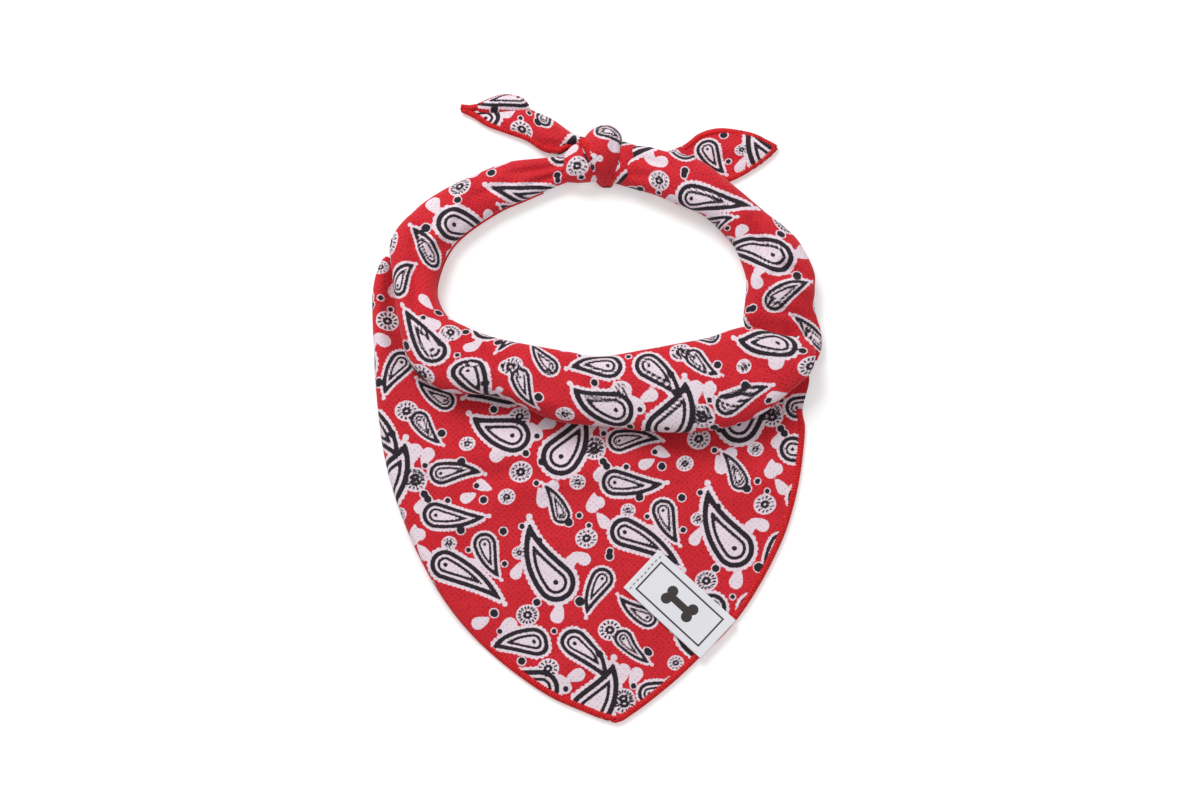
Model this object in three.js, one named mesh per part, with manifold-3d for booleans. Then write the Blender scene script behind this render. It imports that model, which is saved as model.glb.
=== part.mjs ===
// A triangular dog bandana of printed mesh knit, tied into a loop and laid on its back.
// Millimetres, +Z up. The bib points along -Y and the knot is at +Y. The cloth rests on
// Z = 0. The origin is below the middle of the whole outline.

import * as THREE from 'three';
import Module from 'manifold-3d';
import { mergeVertices } from 'three/addons/utils/BufferGeometryUtils.js';

// ---------------------------------------------------------------- driving dimensions

const CLOTH = 1.6; // one layer of knit, as a wall
const GAP = 0.3; // between neighbouring pieces
const HEM_WIDTH = 2.8; // overlocked edge, seen from above
const HEM_HEIGHT = 2;
const LABEL_THICKNESS = 0.8;
const RING_POINTS = 14; // round a rolled band
const FOLD_COLUMNS = 6; // across the bib's folded edge
const TOP_COLUMNS = 14; // across the rest of the bib
const FOLD_STRIP = 10; // how much of the bib's width the folded edge takes, in per cent
const FLAT_FOOT = 1.25; // above 1, flattens the underside of a roll

const RED = '#ca2331';
const BRIGHT_RED = '#e02a35';
const WHITE = '#e9e9ee';

// The bib, from the top of its left fold down to its tip. left and right are the edges of
// each row, crown is the height of the fold, spread how fast the top layer comes down from
// it, under the width turned below, and the insets leave room for the hem.
const BIB_ROWS = [
  { left: [-86, 60], right: [-77, 57], crown: 3.6, spread: 4, under: 3, leftInset: 0, rightInset: 0 },
  { left: [-88.6, 54], right: [-73, 50], crown: 5.6, spread: 4, under: 3.5, leftInset: 0, rightInset: 0 },
  { left: [-90.2, 45], right: [-69, 38], crown: 6.6, spread: 4, under: 4, leftInset: 0, rightInset: 0 },
  { left: [-90.2, 36], right: [-56, 19], crown: 7, spread: 4.5, under: 4, leftInset: 0, rightInset: 0 },
  { left: [-89.8, 28], right: [-24, 7], crown: 7, spread: 5, under: 4.5, leftInset: 0, rightInset: 0 },
  { left: [-89.3, 21], right: [18, 3], crown: 7, spread: 6, under: 5.5, leftInset: 0, rightInset: 0 },
  { left: [-89, 15], right: [60, 5], crown: 7, spread: 8, under: 7, leftInset: 0, rightInset: 0 },
  { left: [-88.7, 9], right: [84, 12], crown: 7, spread: 11, under: 10, leftInset: 0, rightInset: 0 },
  { left: [-88, 2], right: [82.5, -3], crown: 7, spread: 14, under: 11, leftInset: 0, rightInset: 3.4 },
  { left: [-87, -7], right: [83.4, -10], crown: 7, spread: 16, under: 12, leftInset: 0, rightInset: 3.4 },
  { left: [-85.4, -18], right: [82.6, -20], crown: 7, spread: 17, under: 12, leftInset: 0, rightInset: 3.4 },
  { left: [-82.8, -30], right: [81, -31], crown: 7, spread: 17, under: 12, leftInset: 0, rightInset: 3.4 },
  { left: [-79.4, -41], right: [78.5, -42], crown: 6.8, spread: 16, under: 11, leftInset: 0, rightInset: 3.5 },
  { left: [-75.2, -52], right: [75, -53], crown: 6.4, spread: 15, under: 9, leftInset: 0, rightInset: 3.6 },
  { left: [-70.2, -63], right: [70, -64], crown: 6, spread: 14, under: 7, leftInset: 0, rightInset: 3.9 },
  { left: [-64.8, -73], right: [64, -75], crown: 5.4, spread: 13, under: 5.5, leftInset: 0, rightInset: 4.1 },
  { left: [-58.6, -82.5], right: [57.5, -85], crown: 4.6, spread: 12, under: 4, leftInset: 0, rightInset: 4.5 },
  { left: [-51.8, -91], right: [50, -94], crown: 3.4, spread: 11, under: 2, leftInset: 0, rightInset: 4.8 },
  { left: [-43.4, -99.5], right: [41, -102.5], crown: 1.6, spread: 10, under: 0, leftInset: 5, rightInset: 5.2 },
  { left: [-32, -109], right: [31.5, -111.5], crown: 1.6, spread: 10, under: 0, leftInset: 5.8, rightInset: 5.4 },
  { left: [-18, -118.4], right: [20.5, -120.5], crown: 1.6, spread: 10, under: 0, leftInset: 8.2, rightInset: 6 },
  { left: [-4, -124.6], right: [12, -126.6], crown: 1.6, spread: 10, under: 0, leftInset: 9, rightInset: 5.8 },
];

const UNDERFOLD = { first: 0.5, last: 16.6, steps: 24, least: 0.5 };

// The bib's largest folds: soft ridges that the cloth lifts into.
const BIB_FOLDS = [
  { from: [-66, -20], to: [-14, -23], width: 9, height: 2.4 },
  { from: [-38, -38], to: [20, -23], width: 6, height: 2 },
  { from: [62, -22], to: [70, -40], width: 6, height: 2 },
  { from: [-66, -54], to: [-40, -45], width: 6, height: 1.4 },
  { from: [46, -33], to: [57, -48], width: 5, height: 1.2 },
];

// The rolled band from the knot round the left side and along the front: its edge at the
// neck opening, its outer edge, the height of the roll and the level that it lies on.
const LOOP_ROWS = [
  { inner: [-12.4, 91], outer: [-13, 101], height: 8.5, base: 0 },
  { inner: [-19.5, 87.5], outer: [-23, 100.5], height: 8, base: 0 },
  { inner: [-29.5, 83], outer: [-35.5, 99], height: 8.5, base: 0 },
  { inner: [-38.5, 79], outer: [-46, 95], height: 9, base: 0 },
  { inner: [-50.5, 71], outer: [-62, 87], height: 10, base: 0 },
  { inner: [-58, 63.5], outer: [-75, 77], height: 11, base: 0 },
  { inner: [-62.5, 54], outer: [-83, 65], height: 11, base: 1.9 },
  { inner: [-64, 44], outer: [-82, 50], height: 11, base: 2.2 },
  { inner: [-60, 34], outer: [-79.5, 32.5], height: 12, base: 2.2 },
  { inner: [-52, 29], outer: [-74.5, 14], height: 13, base: 2.2 },
  { inner: [-42, 25], outer: [-61, 3], height: 13.5, base: 2.2 },
  { inner: [-29, 22], outer: [-39, 0.5], height: 13.5, base: 2.2 },
  { inner: [-12, 19], outer: [-17, -9], height: 13, base: 2.2 },
  { inner: [1.5, 17], outer: [4, -11.5], height: 12.5, base: 2.2 },
  { inner: [18, 19.5], outer: [20, -13.5], height: 13, base: 2.2 },
  { inner: [32, 22], outer: [38, -14], height: 13.5, base: 2.4 },
  { inner: [45, 24.5], outer: [54, -11.5], height: 13, base: 3.2 },
  { inner: [54, 27.5], outer: [67, -6], height: 11.5, base: 4.8 },
  { inner: [61, 28.5], outer: [77, 2], height: 10, base: 6.4 },
  { inner: [69, 26.5], outer: [85, 9.5], height: 8, base: 7 },
  { inner: [77, 25], outer: [87.5, 17.5], height: 5, base: 7.2 },
];
const LEFT_CORNER = 7; // row of LOOP_ROWS where the left band becomes the neck roll

// The band from the knot down the right side to where the front roll lies on it.
const RIGHT_ROWS = [
  { inner: [10.4, 89.5], outer: [13, 105.5], height: 10, base: 0 },
  { inner: [16, 87], outer: [20, 105], height: 10.5, base: 0.6 },
  { inner: [23.5, 84.5], outer: [28, 102.5], height: 10.5, base: 2 },
  { inner: [30, 81.5], outer: [36, 101], height: 10.5, base: 2.2 },
  { inner: [37.5, 78.3], outer: [44.5, 97], height: 11, base: 2.2 },
  { inner: [42.5, 76], outer: [53.5, 89.5], height: 11.5, base: 2.2 },
  { inner: [48, 71.5], outer: [60.5, 84], height: 11.5, base: 1 },
  { inner: [52, 67.5], outer: [68.5, 77], height: 12, base: 0 },
  { inner: [55.5, 63], outer: [76, 71], height: 12, base: 0 },
  { inner: [57.5, 58.5], outer: [82, 64.5], height: 12, base: 0 },
  { inner: [60, 50.5], outer: [87.5, 53], height: 12, base: 0 },
  { inner: [60, 44.5], outer: [87.8, 46], height: 12, base: 0 },
  { inner: [59.4, 38], outer: [87.5, 39.5], height: 11, base: 0 },
  { inner: [59, 33], outer: [88.5, 34], height: 8.5, base: 0.4 },
  { inner: [61, 28], outer: [90.2, 28], height: 5, base: 1.2 },
  { inner: [67, 22.5], outer: [90.2, 21.5], height: 4.2, base: 2 },
  { inner: [74, 18.5], outer: [88.5, 16.5], height: 3.6, base: 2.2 },
];

// The turn of the knot that wraps over the rest: sections across it, from its foot to its
// crown. y is the place, left and right the sides.
const KNOT_SECTIONS = [
  { y: 89.6, left: 1.2, right: 6.6, height: 5 },
  { y: 92.4, left: -1.8, right: 8, height: 11 },
  { y: 95.8, left: -4.2, right: 8.8, height: 14.5 },
  { y: 99.6, left: -5.8, right: 9.6, height: 16 },
  { y: 103.8, left: -6.2, right: 9.9, height: 16 },
  { y: 108, left: -5, right: 10.4, height: 14.5 },
  { y: 111.4, left: -2.6, right: 9.2, height: 11 },
  { y: 114.2, left: 1, right: 6.8, height: 6 },
];

// The turns on its left and right, each a short roll that ends against the wrap.
const KNOT_LEFT_ROWS = [
  { inner: [-11.8, 90.8], outer: [-12.2, 102.5], height: 9, base: 0 },
  { inner: [-8, 90], outer: [-9.5, 105.5], height: 11.5, base: 0 },
  { inner: [-3, 90.2], outer: [-6, 106.5], height: 12, base: 0 },
  { inner: [1, 91], outer: [0, 105], height: 10, base: 0 },
];
const KNOT_RIGHT_ROWS = [
  { inner: [4, 91], outer: [5, 106], height: 9, base: 0 },
  { inner: [8, 89.6], outer: [10, 107], height: 11, base: 0 },
  { inner: [10, 89.4], outer: [12.4, 106.4], height: 10.5, base: 0 },
];

// The tie ends: upper and lower edges of each row from the knot to the tip, and how far
// the cloth's middle lifts from the surface.
const LEFT_TAIL_ROWS = [
  { upper: [-3, 110.8], lower: [-3.6, 108], lift: 3 },
  { upper: [-9.4, 111.4], lower: [-11, 106.8], lift: 3.5 },
  { upper: [-17.4, 117.4], lower: [-15.4, 103.4], lift: 4.5 },
  { upper: [-23, 120], lower: [-22, 104.4], lift: 4 },
  { upper: [-28.4, 121.6], lower: [-28.8, 108.8], lift: 3 },
  { upper: [-35, 121.4], lower: [-38.4, 112.4], lift: 2 },
  { upper: [-42.5, 121], lower: [-45, 115], lift: 1 },
  { upper: [-49, 121.8], lower: [-50.2, 118.4], lift: 0 },
  { upper: [-55.6, 123.6], lower: [-55.4, 121.4], lift: 0 },
];
const LEFT_FLAP_ROWS = [
  { upper: [-27.8, 124.6], lower: [-27.8, 122.4], lift: 0 },
  { upper: [-31.6, 127.4], lower: [-31, 122.2], lift: 0.8 },
  { upper: [-37.6, 128.6], lower: [-37, 122], lift: 1.2 },
  { upper: [-43, 127.2], lower: [-43, 121.8], lift: 0.8 },
  { upper: [-48.4, 124.8], lower: [-48.4, 122.6], lift: 0 },
];
const RIGHT_TAIL_ROWS = [
  { upper: [27, 103.4], lower: [28.6, 96], lift: 0 },
  { upper: [35, 106.8], lower: [37, 92.5], lift: 0 },
  { upper: [41.8, 112], lower: [44.6, 90], lift: 0 },
  { upper: [49.4, 114.2], lower: [52.4, 91], lift: 0.4 },
  { upper: [57.4, 113.6], lower: [59, 93.8], lift: 1.4 },
  { upper: [64.2, 112], lower: [65.4, 97.8], lift: 1.2 },
  { upper: [69.8, 109.3], lower: [70.4, 101.6], lift: 0.6 },
  { upper: [73.2, 107], lower: [73.4, 105.2], lift: 0 },
];

// The label: its middle, size and turn. It lies across the right hem.
const LABEL = { centre: [32.8, -81.8], length: 41.4, width: 20.6, turn: -43, columns: 10 };

// ---------------------------------------------------------------- interpolation

function catmullRom(a, b, c, d, f) {
  const slope1 = (c - a) / 2;
  const slope2 = (d - b) / 2;
  const f2 = f * f;
  const f3 = f2 * f;
  return (2 * f3 - 3 * f2 + 1) * b + (f3 - 2 * f2 + f) * slope1
    + (3 * f2 - 2 * f3) * c + (f3 - f2) * slope2;
}

// A table's row at a place between its rows, every column on a smooth curve.
function rowAt(rows, place) {
  const last = rows.length - 1;
  const start = Math.min(Math.floor(place), last - 1);
  const near = [-1, 0, 1, 2].map((step) => rows[THREE.MathUtils.clamp(start + step, 0, last)]);
  const blend = (values) => catmullRom(...values, place - start);
  const result = {};
  for (const [key, value] of Object.entries(rows[0])) {
    result[key] = Array.isArray(value)
      ? value.map((_, axis) => blend(near.map((row) => row[key][axis])))
      : blend(near.map((row) => row[key]));
  }
  return result;
}

function steps(first, last, count) {
  return Array.from({ length: count + 1 }, (_, i) => first + (last - first) * i / count);
}

// ---------------------------------------------------------------- closed bodies

function signedVolume(points, faces) {
  let volume = 0;
  for (const [a, b, c] of faces) {
    volume += points[a].dot(new THREE.Vector3().crossVectors(points[b], points[c]));
  }
  return volume / 6;
}

function bodyFrom(points, faces) {
  const outward = signedVolume(points, faces) > 0;
  const ordered = outward ? faces : faces.map(([a, b, c]) => [a, c, b]);
  const geometry = new THREE.BufferGeometry().setFromPoints(points);
  geometry.setIndex(ordered.flat());
  return geometry;
}

// A loft through rings of equal length, with a fan over each end.
function loft(rings) {
  const size = rings[0].length;
  const points = rings.flat();
  const faces = [];
  for (let r = 0; r < rings.length - 1; r += 1) {
    for (let k = 0; k < size; k += 1) {
      const a = r * size + k;
      const b = r * size + (k + 1) % size;
      faces.push([a, b, b + size], [a, b + size, a + size]);
    }
  }
  for (const end of [0, rings.length - 1]) {
    const middle = new THREE.Vector3();
    rings[end].forEach((point) => middle.addScaledVector(point, 1 / size));
    points.push(middle);
    for (let k = 0; k < size; k += 1) {
      const a = end * size + k;
      const b = end * size + (k + 1) % size;
      faces.push(end === 0 ? [points.length - 1, b, a] : [points.length - 1, a, b]);
    }
  }
  return bodyFrom(points, faces);
}

// A wall between two grids of points that match, closed round its rim.
function wall(outer, inner) {
  const rows = outer.length;
  const columns = outer[0].length;
  const points = [...outer.flat(), ...inner.flat()];
  const shift = rows * columns;
  const at = (r, c) => r * columns + c;
  const faces = [];
  for (let r = 0; r < rows - 1; r += 1) {
    for (let c = 0; c < columns - 1; c += 1) {
      const [a, b, d, e] = [at(r, c), at(r, c + 1), at(r + 1, c + 1), at(r + 1, c)];
      faces.push([a, b, d], [a, d, e]);
      faces.push([a + shift, d + shift, b + shift], [a + shift, e + shift, d + shift]);
    }
  }
  const rim = [];
  for (let c = 0; c < columns - 1; c += 1) rim.push(at(0, c));
  for (let r = 0; r < rows - 1; r += 1) rim.push(at(r, columns - 1));
  for (let c = columns - 1; c > 0; c -= 1) rim.push(at(rows - 1, c));
  for (let r = rows - 1; r > 0; r -= 1) rim.push(at(r, 0));
  rim.forEach((a, i) => {
    const b = rim[(i + 1) % rim.length];
    faces.push([a, b + shift, b], [a, a + shift, b + shift]);
  });
  return bodyFrom(points, faces);
}

// ---------------------------------------------------------------- rolled bands

function ringOf({ inner, outer, height, base }) {
  const from = new THREE.Vector2(...inner);
  const to = new THREE.Vector2(...outer);
  const middle = from.clone().add(to).multiplyScalar(0.5);
  const across = to.clone().sub(from);
  const half = across.length() / 2;
  const foot = Math.max(base, 0);
  across.normalize();
  return steps(0, 2 * Math.PI, RING_POINTS).slice(0, -1).map((angle) => {
    const side = half * Math.cos(angle);
    const rise = Math.max(-1, Math.sin(angle) * (Math.sin(angle) < 0 ? FLAT_FOOT : 1));
    const z = foot + height * (1 + rise) / 2;
    return new THREE.Vector3(middle.x + across.x * side, middle.y + across.y * side, z);
  });
}

function band(rows, first, last, count) {
  return loft(steps(first, last, count).map((place) => ringOf(rowAt(rows, place))));
}

function knotWrap() {
  return loft(KNOT_SECTIONS.map(({ y, left, right, height }) => ringOf(
    { inner: [right, y], outer: [left, y], height, base: 0 })));
}

// ---------------------------------------------------------------- bib

function liftAt(x, y) {
  let lift = 0;
  for (const { from, to, width, height } of BIB_FOLDS) {
    const line = new THREE.Line3(
      new THREE.Vector3(...from, 0), new THREE.Vector3(...to, 0));
    const here = new THREE.Vector3(x, y, 0);
    const nearest = line.closestPointToPoint(here, true, new THREE.Vector3());
    lift += height * Math.exp(-((nearest.distanceTo(here) / width) ** 2));
  }
  return lift;
}

// The height of the bib's right side at a distance from its left edge, along one row.
function bibTop(row, side) {
  const left = new THREE.Vector2(...row.left);
  const across = new THREE.Vector2(...row.right).sub(left).normalize();
  const { x, y } = left.addScaledVector(across, side);
  const fold = Math.exp(-((side / row.spread) ** 2));
  return new THREE.Vector3(x, y, CLOTH + (row.crown - CLOTH) * fold + liftAt(x, y) * (1 - fold));
}

function rowLength({ left, right }) {
  return Math.hypot(right[0] - left[0], right[1] - left[1]);
}

function bibPanel() {
  const outer = BIB_ROWS.map((row) => {
    const start = row.leftInset;
    const end = rowLength(row) - row.rightInset;
    const places = [...steps(0, FOLD_STRIP, FOLD_COLUMNS).slice(0, -1),
      ...steps(FOLD_STRIP, 100, TOP_COLUMNS)];
    return places.map((place) => bibTop(row, start + (end - start) * place / 100));
  });
  return wall(outer, outer.map((points) => points.map((p) => p.clone().setZ(p.z - CLOTH))));
}

// What is turned under at the left, from the surface up to the layer above it.
function bibUnderfold() {
  return loft(steps(UNDERFOLD.first, UNDERFOLD.last, UNDERFOLD.steps).map((place) => {
    const row = rowAt(BIB_ROWS, place);
    const at = (side, share) => {
      const top = bibTop(row, side);
      return top.setZ(Math.max(top.z - CLOTH - GAP, UNDERFOLD.least) * share);
    };
    const { under } = row;
    return [at(0.9, 0), at(under, 0), at(under, 1), at(under * 0.6, 1), at(0.9, 1), at(0.2, 0.5)];
  }));
}

// ---------------------------------------------------------------- tie ends

function tail(rows, first, last, count) {
  const columns = steps(0, 1, 5);
  const surface = steps(first, last, count).map((place) => {
    const row = rowAt(rows, place);
    const upper = new THREE.Vector2(...row.upper);
    const lower = new THREE.Vector2(...row.lower);
    const across = lower.clone().sub(upper);
    const length = across.length();
    across.normalize();
    return columns.map((share) => {
      const side = length * share;
      const z = Math.max(row.lift, 0) * Math.sin(Math.PI * share);
      return new THREE.Vector3(upper.x + across.x * side, upper.y + across.y * side, z);
    });
  });
  const raised = surface.map((points) => points.map(
    (point) => point.clone().setZ(point.z + CLOTH)));
  return wall(raised, surface);
}

// ---------------------------------------------------------------- hems

// A flat strip along an outline, on the side of it where the cloth is.
function hem(outline, width, cloth) {
  const path = outline.map(([x, y]) => new THREE.Vector2(x, y));
  const rings = path.map((point, i) => {
    const before = path[Math.max(i - 1, 0)];
    const after = path[Math.min(i + 1, path.length - 1)];
    const along = after.clone().sub(before).normalize();
    const inward = new THREE.Vector2(-along.y, along.x).multiplyScalar(cloth);
    const corner = (side, z) => new THREE.Vector3(
      point.x + inward.x * side, point.y + inward.y * side, z);
    return [
      corner(0.4, 0), corner(width, 0), corner(width, HEM_HEIGHT * 0.8),
      corner(width * 0.6, HEM_HEIGHT), corner(0.6, HEM_HEIGHT * 0.9), corner(0, HEM_HEIGHT / 2),
    ];
  });
  return loft(rings);
}

function edgeOf(rows, key, first, last, count) {
  return steps(first, last, count).map((place) => rowAt(rows, place)[key]);
}

// ---------------------------------------------------------------- label

function labelPlate() {
  const turn = THREE.MathUtils.degToRad(LABEL.turn);
  const bottoms = steps(-0.5, 0.5, LABEL.columns).map((along) => [-0.5, 0, 0.5].map((across) => {
    const here = new THREE.Vector2(along * LABEL.length, across * LABEL.width)
      .rotateAround(new THREE.Vector2(), turn).add(new THREE.Vector2(...LABEL.centre));
    const z = Math.max(CLOTH + liftAt(here.x, here.y), HEM_HEIGHT) + GAP;
    return new THREE.Vector3(here.x, here.y, z);
  }));
  const tops = bottoms.map((points) => points.map(
    (point) => point.clone().setZ(point.z + LABEL_THICKNESS)));
  return wall(tops, bottoms);
}

// ---------------------------------------------------------------- joins and cuts

const wasm = await Module();
wasm.setup();

function solidOf(geometry) {
  const merged = mergeVertices(geometry);
  return new wasm.Manifold(new wasm.Mesh({
    numProp: 3,
    vertProperties: new Float32Array(merged.attributes.position.array),
    triVerts: new Uint32Array(merged.index.array),
  }));
}

function geometryOf(solid) {
  const { vertProperties, triVerts } = solid.getMesh();
  const geometry = new THREE.BufferGeometry();
  geometry.setAttribute('position', new THREE.BufferAttribute(vertProperties, 3));
  geometry.setIndex(new THREE.BufferAttribute(triVerts, 1));
  return geometry;
}

// ---------------------------------------------------------------- assembly

const bandana = new THREE.Group();

function add(name, geometry, color, roughness = 0.85) {
  const mesh = new THREE.Mesh(
    geometry, new THREE.MeshStandardMaterial({ color, roughness, metalness: 0 }));
  mesh.name = name;
  bandana.add(mesh);
}

const seam = 0.02; // of a row, on each side of a seam between two stretches of one roll
const lastLoop = LOOP_ROWS.length - 1;
const lastBib = BIB_ROWS.length - 1;

// The space that the wrap and the gap round it take out of the turns beside it.
const wrap = solidOf(knotWrap());
const shifts = [[GAP, 0, 0], [-GAP, 0, 0], [0, GAP, 0], [0, -GAP, 0], [0, 0, GAP]];
const wrapSpace = shifts.reduce((space, shift) => space.add(wrap.translate(shift)), wrap);

add('bib_panel', bibPanel(), RED);
add('bib_underfold', bibUnderfold(), RED);
add('neck_roll', band(LOOP_ROWS, LEFT_CORNER + seam, lastLoop, 26), RED);
add('left_band', band(LOOP_ROWS, 0, LEFT_CORNER - seam, 14), RED);
add('right_band', band(RIGHT_ROWS, 0, RIGHT_ROWS.length - 1, 24), RED);
add('knot_wrap', knotWrap(), RED);
add('knot_left', geometryOf(solidOf(band(KNOT_LEFT_ROWS, 0, 3, 5)).subtract(wrapSpace)), RED);
add('knot_right', geometryOf(solidOf(band(KNOT_RIGHT_ROWS, 0, 2, 3)).subtract(wrapSpace)), RED);
const leftTail = tail(LEFT_TAIL_ROWS, 0, LEFT_TAIL_ROWS.length - 1, 12);
add('left_tail', geometryOf(solidOf(leftTail).subtract(wrapSpace)), RED);
add('left_tail_flap', tail(LEFT_FLAP_ROWS, 0, LEFT_FLAP_ROWS.length - 1, 8), RED);
add('right_tail', tail(RIGHT_TAIL_ROWS, 0, RIGHT_TAIL_ROWS.length - 1, 10), RED);

const tip = [7.4, -128.6];
const rightOutline = edgeOf(BIB_ROWS, 'right', 8.2, lastBib, 26);
add('bib_hem_right', hem([...rightOutline, tip], HEM_WIDTH, -1), BRIGHT_RED);
const leftOutline = edgeOf(BIB_ROWS, 'left', 18.15, lastBib - 0.2, 9);
add('bib_hem_left', hem(leftOutline, HEM_WIDTH, 1), BRIGHT_RED);
add('label', labelPlate(), WHITE, 0.5);

export default bandana;
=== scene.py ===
import math

import bpy
import numpy as np
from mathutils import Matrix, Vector


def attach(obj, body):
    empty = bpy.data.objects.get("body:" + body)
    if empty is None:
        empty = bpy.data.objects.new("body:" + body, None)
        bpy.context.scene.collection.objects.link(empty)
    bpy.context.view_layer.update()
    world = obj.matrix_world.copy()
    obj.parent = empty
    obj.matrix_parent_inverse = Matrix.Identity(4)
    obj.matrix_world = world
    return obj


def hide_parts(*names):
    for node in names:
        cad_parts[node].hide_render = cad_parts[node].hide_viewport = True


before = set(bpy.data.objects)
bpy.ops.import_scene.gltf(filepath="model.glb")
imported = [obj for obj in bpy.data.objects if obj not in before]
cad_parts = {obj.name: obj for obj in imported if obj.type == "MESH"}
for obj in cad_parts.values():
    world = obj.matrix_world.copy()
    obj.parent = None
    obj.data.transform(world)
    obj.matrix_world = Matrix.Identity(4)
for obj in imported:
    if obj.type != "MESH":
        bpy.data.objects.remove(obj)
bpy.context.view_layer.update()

MM = 0.001
GRID = 0.68  # size of a mesh cell on the printed cloth, in millimetres
CLOTH = 1.6  # one layer, as thick as the solids have it
HEM_WIDTH = 2.8
HEM_HEIGHT = 2.0
STITCH_PITCH = 1.15
STITCH_RADIUS = 0.30
ROLL_CREASES = 1.35  # how much stronger the creases are on the rolls than in their tables
PAISLEY_GROWTH = 1.12  # the motifs' sizes, over those in the chart
FLOWER_GROWTH = 1.1
DROP_GROWTH = 1.3
SPOT_GROWTH = 1.25
FLOOR_GLOW = 0.30
ROOM_LIGHT = 0.40
CAMERA_ELEVATION = 78
CAMERA_DISTANCE = 1.2
SEEN_WIDTH = 0.4796  # what the camera sees across, in metres, at the object

RED = (0.80, 0.125, 0.175)
DEEP_RED = (0.60, 0.045, 0.10)
HEM_RED = (0.90, 0.13, 0.16)
INK = (0.135, 0.11, 0.135)
PRINT_WHITE = (0.93, 0.86, 0.90)
REVERSE = (0.86, 0.62, 0.66)
LABEL_WHITE = (0.93, 0.93, 0.95)
LABEL_INK = (0.20, 0.17, 0.16)


def linear(color):
    """An sRGB colour as the shader wants it."""
    low = [c / 12.92 if c <= 0.04045 else ((c + 0.055) / 1.055) ** 2.4 for c in color]
    return (*low, 1.0)


# ------------------------------------------------------------------ tables, in millimetres

# The bib, from the top of its left fold to its tip: edges of each row, the height of the
# fold, how fast the top layer comes down from it, and the width turned under.
BIB_COLUMNS = ("left_x", "left_y", "right_x", "right_y", "crown", "spread", "under")
BIB_ROWS = [
    (-86, 60, -77, 57, 3.6, 4, 2),
    (-88.6, 54, -73, 50, 5.6, 4, 3),
    (-90.2, 45, -69, 38, 6.6, 4, 4),
    (-90.2, 36, -56, 19, 7, 4.5, 4),
    (-89.8, 28, -24, 7, 7, 5, 4.5),
    (-89.3, 21, 18, 3, 7, 6, 5.5),
    (-89, 15, 60, 5, 7, 8, 7),
    (-88.7, 9, 84, 12, 7, 11, 9),
    (-88, 2, 82.5, -3, 7, 14, 10),
    (-87, -7, 83.4, -10, 7, 16, 11),
    (-85.4, -18, 82.6, -20, 7, 17, 11),
    (-82.8, -30, 81, -31, 7, 17, 11),
    (-79.4, -41, 78.5, -42, 6.8, 16, 10),
    (-75.2, -52, 75, -53, 6.4, 15, 8),
    (-70.2, -63, 70, -64, 6, 14, 6),
    (-64.8, -73, 64, -75, 5.4, 13, 4.5),
    (-58.6, -82.5, 57.5, -85, 4.6, 12, 3),
    (-51.8, -91, 50, -94, 3.4, 11, 1),
    (-43.4, -99.5, 41, -102.5, 1.8, 10, 0),
    (-32, -109, 31.5, -111.5, 1.6, 10, 0),
    (-18, -118.4, 20.5, -120.5, 1.6, 10, 0),
    (-4, -124.6, 12, -126.6, 1.6, 10, 0),
    (4.4, -128, 9.4, -128.2, 1.6, 10, 0),
]
HEM_TOP_ROW = 8.0  # where the right hem comes out from under the roll
HEM_LEFT_ROW = 17.6  # where the left hem comes out from under the fold

BAND_COLUMNS = ("inner_x", "inner_y", "outer_x", "outer_y", "height", "base")
LOOP_ROWS = [
    (-11, 91, -11, 101.6, 8.5, 0),
    (-19.5, 87.5, -23, 100.5, 8, 0),
    (-29.5, 83, -35.5, 99, 8.5, 0),
    (-38.5, 79, -46, 95, 9, 0),
    (-50.5, 71, -62, 87, 10, 0),
    (-58, 63.5, -75, 77, 11, 0),
    (-62.5, 54, -83, 65, 11, 1.2),
    (-64, 44, -82, 50, 11, 2),
    (-60, 34, -79.5, 32.5, 12, 2.2),
    (-52, 29, -74.5, 14, 13, 2.2),
    (-42, 25, -61, 3, 13.5, 2.2),
    (-29, 22, -39, 0.5, 13.5, 2.2),
    (-12, 19, -17, -9, 13, 2.2),
    (1.5, 17, 4, -11.5, 12.5, 2.2),
    (18, 19.5, 20, -13.5, 13, 2.2),
    (32, 22, 38, -14, 13.5, 2.4),
    (45, 24.5, 54, -11.5, 13, 3.2),
    (54, 27.5, 67, -6, 11.5, 4.8),
    (61, 28.5, 77, 2, 10, 6.4),
    (69, 26.5, 85, 9.5, 8, 7),
    (77, 25, 87.5, 17.5, 5, 7.2),
    (82, 25.5, 86, 23.5, 1.5, 8),
]
RIGHT_ROWS = [
    (9, 89.5, 10, 105.5, 10, 0),
    (16, 87, 20, 105, 10.5, 0.6),
    (23.5, 84.5, 28, 102.5, 10.5, 2),
    (30, 81.5, 36, 101, 10.5, 2.2),
    (37.5, 78.3, 44.5, 97, 11, 2.2),
    (42.5, 76, 53.5, 89.5, 11.5, 2.2),
    (48, 71.5, 60.5, 84, 11.5, 1),
    (52, 67.5, 68.5, 77, 12, 0),
    (55.5, 63, 76, 71, 12, 0),
    (57.5, 58.5, 82, 64.5, 12, 0),
    (60, 50.5, 87.5, 53, 12, 0),
    (60, 44.5, 87.8, 46, 12, 0),
    (59.4, 38, 87.5, 39.5, 11, 0),
    (59, 33, 88.5, 34, 8.5, 0.4),
    (61, 28, 90.2, 28, 5, 1.2),
    (67, 22.5, 90.2, 21.5, 4.2, 2),
    (74, 18.5, 88.5, 16.5, 3.6, 2.2),
]
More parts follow.
